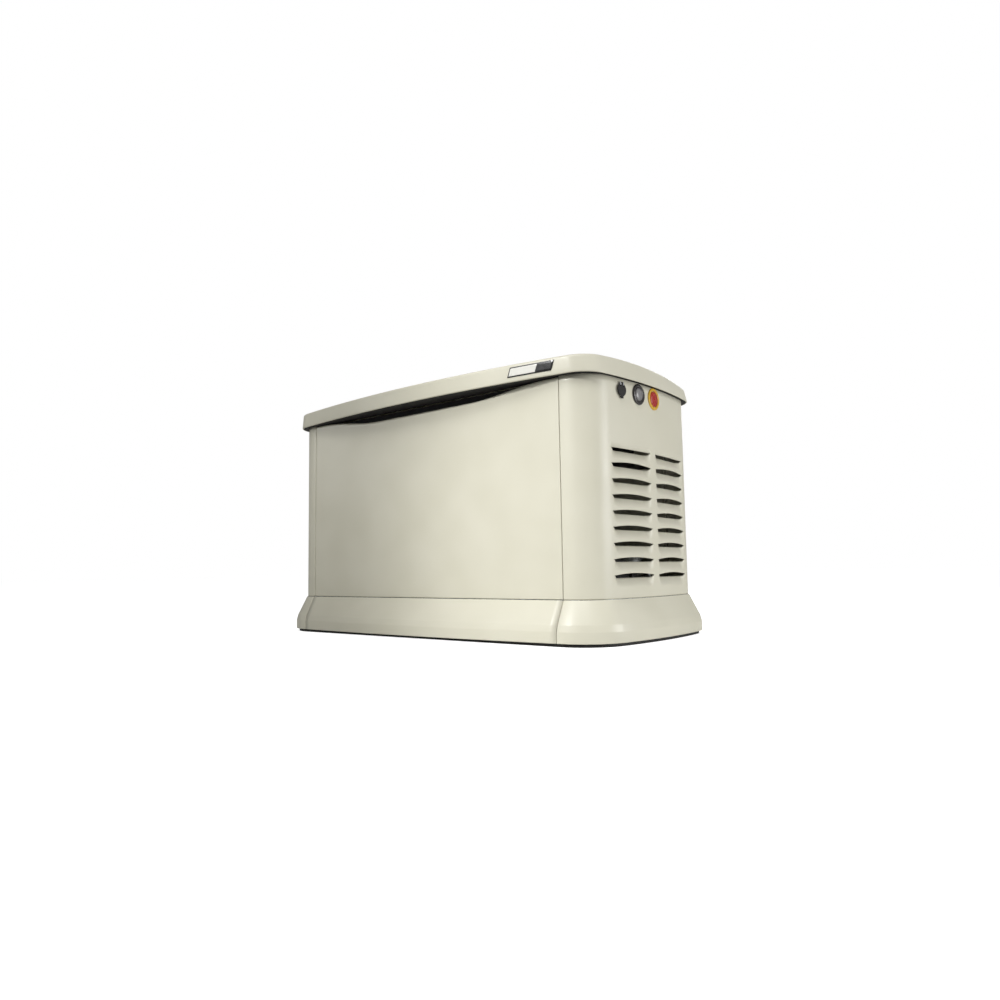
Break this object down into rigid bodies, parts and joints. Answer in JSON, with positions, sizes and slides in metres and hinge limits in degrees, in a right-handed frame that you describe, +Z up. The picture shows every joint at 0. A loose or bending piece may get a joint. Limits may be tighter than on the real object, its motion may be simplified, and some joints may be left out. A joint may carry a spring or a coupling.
{
  "type": "home standby generator",
  "caption": "Enclosed standby generator: bisque panels with bowed louvred ends, hinged lid with a front brow, flared base fascia, V-twin engine and alternator inside.",
  "frame": {"origin": "middle of the foot pad's underside, on the ground", "axes": "+X along the length towards the louvred control end, +Y towards the rear panel and the lid's hinge, +Z up"},
  "size_m": [1.275, 0.656, 0.732],
  "materials": {
    "bisque": "satin powder coat",
    "black_foot": "moulded",
    "tray_steel": "powder coat",
    "black_paint": "satin powder coat",
    "zinc": "zinc plated",
    "bezel": "moulded",
    "lens": "frosted polycarbonate",
    "yellow": "moulded",
    "red": "moulded",
    "cast_alloy": "as cast",
    "iron": "as cast",
    "black_plastic": "moulded",
    "rubber": "moulded",
    "filter_paint": "gloss enamel",
    "aluminised": "hot-dipped",
    "ground_steel": "ground",
    "windings": "varnished copper and laminations",
    "badge": "printed",
    "green_key": "moulded",
    "red_key": "moulded",
    "blue_key": "moulded"
  },
  "bodies": {
    "root": {"foot_pad": "black_foot", "base_tray": "tray_steel", "fascia_front": "bisque", "fascia_rear": "bisque", "fascia_right": "bisque", "fascia_left": "bisque", "right_end_panel": "bisque", "left_end_panel": "bisque", "rear_panel": "bisque", "front_top_rail": "black_paint", "hot_side_divider": "aluminised", "hinge_fixed_leaves": "zinc", "stay_track": "zinc", "lock_bodies": "zinc", "lamp_bezel": "bezel", "lamp_lens": "lens", "estop_collar": "yellow", "crankcase": "cast_alloy", "cylinders": "iron", "cylinder_heads": "cast_alloy", "rocker_covers": "black_paint", "blower_housing": "black_paint", "intake_manifold": "cast_alloy", "air_cleaner_base": "black_plastic", "air_cleaner_cover": "black_plastic", "starter_motor": "black_paint", "oil_filter": "filter_paint", "muffler": "aluminised", "stator_housing": "cast_alloy", "stator_core": "iron", "bearing_carrier": "cast_alloy", "fuel_regulator": "cast_alloy", "fuel_hose": "rubber", "battery": "black_plastic", "wiring_leads": "rubber", "controller_housing": "black_plastic", "breaker_box": "black_plastic", "isolators": "rubber", "panel_screws": "zinc"},
    "lid": {"lid": "bisque", "lid_gasket": "rubber", "lid_badge": "badge", "hinge_lid_leaves": "zinc", "hinge_pins": "zinc", "lid_catches": "zinc"},
    "stay": {"lid_stay": "zinc"},
    "front_panel": {"front_panel": "bisque"},
    "right_lock": {"lock_cam_right": "zinc"},
    "left_lock": {"lock_cam_left": "zinc"},
    "right_cap": {"lock_cap_right": "rubber"},
    "left_cap": {"lock_cap_left": "rubber"},
    "stop_button": {"estop_button": "red"},
    "crank": {"crankshaft": "ground_steel", "flywheel_fan": "cast_alloy", "rotor": "windings"},
    "pinion": {"starter_pinion": "ground_steel"},
    "toggle": {"breaker_toggle": "black_plastic"},
    "auto_key": {"auto_key": "green_key"},
    "off_key": {"off_key": "red_key"},
    "manual_key": {"manual_key": "blue_key"}
  },
  "joints": [
    {"name": "lid_hinge", "type": "hinge", "parent": "root", "child": "lid", "pos_m": [0, 0.262, 0.664], "axis": [-1, 0, 0], "range_deg": [0, 65]},
    {"name": "stay_swing", "type": "hinge", "parent": "lid", "child": "stay", "pos_m": [-0.566, 0.087, 0.664], "axis": [-1, 0, 0], "range_deg": [-130, 0]},
    {"name": "front_panel_draw", "type": "slide", "parent": "root", "child": "front_panel", "axis": [0, -1, 0], "range_m": [0, 0.15]},
    {"name": "right_lock_turn", "type": "hinge", "parent": "root", "child": "right_lock", "pos_m": [0.59387, -0.146, 0.642], "axis": [-0.9945, 0.1043, 0], "range_deg": [0, 90]},
    {"name": "left_lock_turn", "type": "hinge", "parent": "root", "child": "left_lock", "pos_m": [-0.59387, -0.146, 0.642], "axis": [-0.9945, -0.1043, 0], "range_deg": [0, 90]},
    {"name": "right_cap_flip", "type": "hinge", "parent": "root", "child": "right_cap", "pos_m": [0.59804, -0.14644, 0.66], "axis": [-0.1043, -0.9945, 0], "range_deg": [0, 100]},
    {"name": "left_cap_flip", "type": "hinge", "parent": "root", "child": "left_cap", "pos_m": [-0.59804, -0.14644, 0.66], "axis": [-0.1043, 0.9945, 0], "range_deg": [0, 100]},
    {"name": "stop_push", "type": "slide", "parent": "root", "child": "stop_button", "axis": [-1, -0.0093, 0], "range_m": [0, 0.005]},
    {"name": "crank_spin", "type": "hinge", "parent": "root", "child": "crank", "pos_m": [0, 0, 0.32], "axis": [1, 0, 0], "continuous": true},
    {"name": "pinion_shift", "type": "slide", "parent": "root", "child": "pinion", "axis": [-1, 0, 0], "range_m": [0, 0.01], "stiffness_N_per_m": 300, "springref_m": -0.003},
    {"name": "breaker_throw", "type": "hinge", "parent": "root", "child": "toggle", "pos_m": [0.42, 0.09, 0.609], "axis": [-1, 0, 0], "range_deg": [0, 44]},
    {"name": "auto_key_press", "type": "slide", "parent": "root", "child": "auto_key", "axis": [0, 0, -1], "range_m": [0, 0.0012], "stiffness_N_per_m": 400, "springref_m": -0.0008},
    {"name": "off_key_press", "type": "slide", "parent": "root", "child": "off_key", "axis": [0, 0, -1], "range_m": [0, 0.0012], "stiffness_N_per_m": 400, "springref_m": -0.0008},
    {"name": "manual_key_press", "type": "slide", "parent": "root", "child": "manual_key", "axis": [0, 0, -1], "range_m": [0, 0.0012], "stiffness_N_per_m": 400, "springref_m": -0.0008}
  ],
  "couplings": [
    {"joint": "stay_swing", "follows": "lid_hinge", "ratio": -2}
  ]
}
